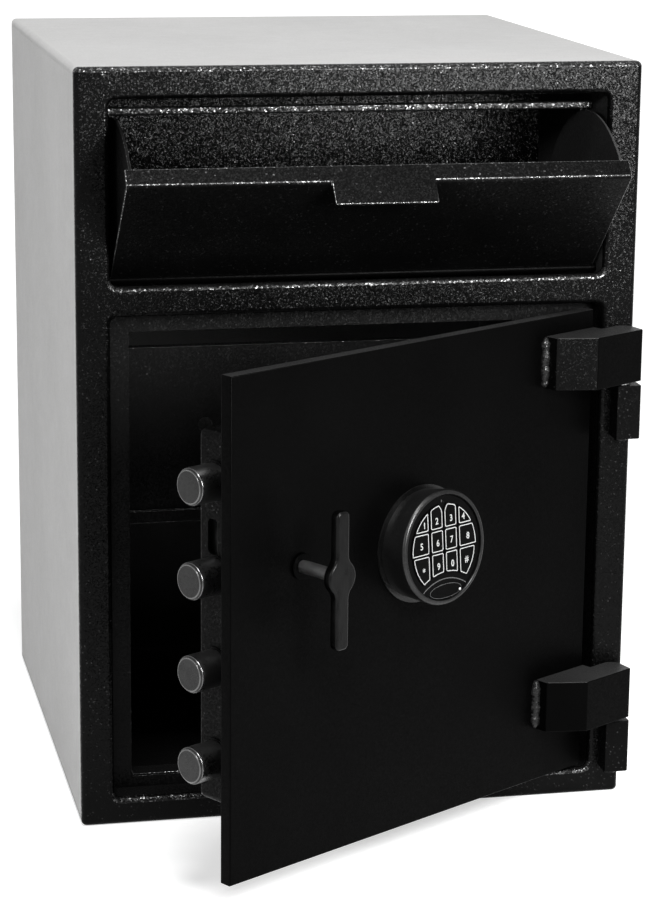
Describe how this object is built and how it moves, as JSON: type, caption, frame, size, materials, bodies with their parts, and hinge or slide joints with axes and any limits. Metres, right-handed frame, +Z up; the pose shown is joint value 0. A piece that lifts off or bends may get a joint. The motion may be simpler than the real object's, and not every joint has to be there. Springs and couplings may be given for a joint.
{
  "type": "drop safe with deposit drawer",
  "caption": "Front-loading drop safe with a tilting deposit drawer above a hinged door that has a keypad lock, a bar handle and sliding bolts.",
  "frame": {"origin": "middle of the flat underside of the safe's body", "axes": "+X to the hinge side (right, seen from the front), +Y to the back, +Z up; stored with the door and drawer open"},
  "size_m": [0.511, 0.7539, 0.686],
  "materials": {
    "shell_paint": "light grey fine-textured enamel",
    "front_paint": "black hammered powder coat, satin, sparkling",
    "door_paint": "black fine powder coat, satin",
    "inner_paint": "black powder coat inside",
    "bolt_steel": "turned steel, bright rim",
    "plain_steel": "zinc plated steel",
    "handle_steel": "black nickel plate",
    "keypad_shell": "dark chrome plated housing",
    "keypad_face": "black membrane face",
    "key_rubber": "black keys, pale outline and number",
    "light_lens": "unlit red lens",
    "lock_metal": "die-cast lock case"
  },
  "bodies": {
    "safe_body": {"body_bottom": "shell_paint", "body_top": "shell_paint", "body_side_left": "shell_paint", "body_side_right": "shell_paint", "body_back": "shell_paint", "front_frame": "front_paint", "door_jamb": "front_paint", "door_stop_flange": "front_paint", "door_sill": "front_paint", "hopper_cheek_left": "inner_paint", "hopper_cheek_right": "inner_paint", "hopper_back_plate": "inner_paint", "hopper_sill": "inner_paint", "drawer_stop_bar": "front_paint", "chute_panel": "inner_paint", "hinge_knuckle_lower": "front_paint", "hinge_washer_lower": "plain_steel", "hinge_pin_lower": "plain_steel", "hinge_knuckle_upper": "front_paint", "hinge_washer_upper": "plain_steel", "hinge_pin_upper": "plain_steel"},
    "door": {"door_plate": "door_paint", "hinge_strap_lower": "front_paint", "hinge_strap_upper": "front_paint", "boltwork_cover": "inner_paint", "bolt_guide_bar": "plain_steel", "spindle_bush": "plain_steel", "keypad_housing": "keypad_shell", "keypad_face": "keypad_face", "status_light": "light_lens", "lock_case": "lock_metal"},
    "handle": {"door_handle": "handle_steel", "handle_spindle": "handle_steel", "bolt_cam": "plain_steel"},
    "boltwork": {"bolt_carrier": "plain_steel", "locking_bolt_1": "bolt_steel", "locking_bolt_2": "bolt_steel", "locking_bolt_3": "bolt_steel", "locking_bolt_4": "bolt_steel"},
    "lock_slide": {"lock_bolt": "plain_steel"},
    "drawer": {"drawer_front": "front_paint", "drawer_side_left": "front_paint", "drawer_side_right": "front_paint", "drawer_floor": "front_paint", "drawer_pivot_rod": "plain_steel"},
    "key_1": {"key_1": "key_rubber"},
    "key_2": {"key_2": "key_rubber"},
    "key_3": {"key_3": "key_rubber"},
    "key_4": {"key_4": "key_rubber"},
    "key_5": {"key_5": "key_rubber"},
    "key_6": {"key_6": "key_rubber"},
    "key_7": {"key_7": "key_rubber"},
    "key_8": {"key_8": "key_rubber"},
    "key_star": {"key_star": "key_rubber"},
    "key_9": {"key_9": "key_rubber"},
    "key_0": {"key_0": "key_rubber"},
    "key_hash": {"key_hash": "key_rubber"}
  },
  "joints": [
    {"name": "door_swing", "type": "hinge", "parent": "safe_body", "child": "door", "pos_m": [0.241, -0.26525, 0.25], "axis": [0, 0, 1], "range_deg": [-31.9, 73.1]},
    {"name": "handle_turn", "type": "hinge", "parent": "door", "child": "handle", "pos_m": [-0.07208, -0.48515, 0.293], "axis": [0.5284, -0.849, 0], "range_deg": [0, 90]},
    {"name": "bolt_slide", "type": "slide", "parent": "door", "child": "boltwork", "axis": [0.849, 0.5284, 0], "range_m": [0, 0.0285]},
    {"name": "lock_bolt_slide", "type": "slide", "parent": "door", "child": "lock_slide", "axis": [-0.849, -0.5284, 0], "range_m": [0, 0.01]},
    {"name": "drawer_tilt", "type": "hinge", "parent": "safe_body", "child": "drawer", "pos_m": [0, -0.2265, 0.497], "axis": [-1, 0, 0], "range_deg": [0, 48]},
    {"name": "press_1", "type": "slide", "parent": "door", "child": "key_1", "axis": [-0.527, 0.8467, -0.0732], "range_m": [0, 0.001], "stiffness_N_per_m": 400},
    {"name": "press_2", "type": "slide", "parent": "door", "child": "key_2", "axis": [-0.527, 0.8467, -0.0732], "range_m": [0, 0.001], "stiffness_N_per_m": 400},
    {"name": "press_3", "type": "slide", "parent": "door", "child": "key_3", "axis": [-0.527, 0.8467, -0.0732], "range_m": [0, 0.001], "stiffness_N_per_m": 400},
    {"name": "press_4", "type": "slide", "parent": "door", "child": "key_4", "axis": [-0.527, 0.8467, -0.0732], "range_m": [0, 0.001], "stiffness_N_per_m": 400},
    {"name": "press_5", "type": "slide", "parent": "door", "child": "key_5", "axis": [-0.527, 0.8467, -0.0732], "range_m": [0, 0.001], "stiffness_N_per_m": 400},
    {"name": "press_6", "type": "slide", "parent": "door", "child": "key_6", "axis": [-0.527, 0.8467, -0.0732], "range_m": [0, 0.001], "stiffness_N_per_m": 400},
    {"name": "press_7", "type": "slide", "parent": "door", "child": "key_7", "axis": [-0.527, 0.8467, -0.0732], "range_m": [0, 0.001], "stiffness_N_per_m": 400},
    {"name": "press_8", "type": "slide", "parent": "door", "child": "key_8", "axis": [-0.527, 0.8467, -0.0732], "range_m": [0, 0.001], "stiffness_N_per_m": 400},
    {"name": "press_star", "type": "slide", "parent": "door", "child": "key_star", "axis": [-0.527, 0.8467, -0.0732], "range_m": [0, 0.001], "stiffness_N_per_m": 400},
    {"name": "press_9", "type": "slide", "parent": "door", "child": "key_9", "axis": [-0.527, 0.8467, -0.0732], "range_m": [0, 0.001], "stiffness_N_per_m": 400},
    {"name": "press_0", "type": "slide", "parent": "door", "child": "key_0", "axis": [-0.527, 0.8467, -0.0732], "range_m": [0, 0.001], "stiffness_N_per_m": 400},
    {"name": "press_hash", "type": "slide", "parent": "door", "child": "key_hash", "axis": [-0.527, 0.8467, -0.0732], "range_m": [0, 0.001], "stiffness_N_per_m": 400}
  ],
  "couplings": [
    {"joint": "bolt_slide", "follows": "handle_turn", "m_per_rad": 0.018143}
  ]
}
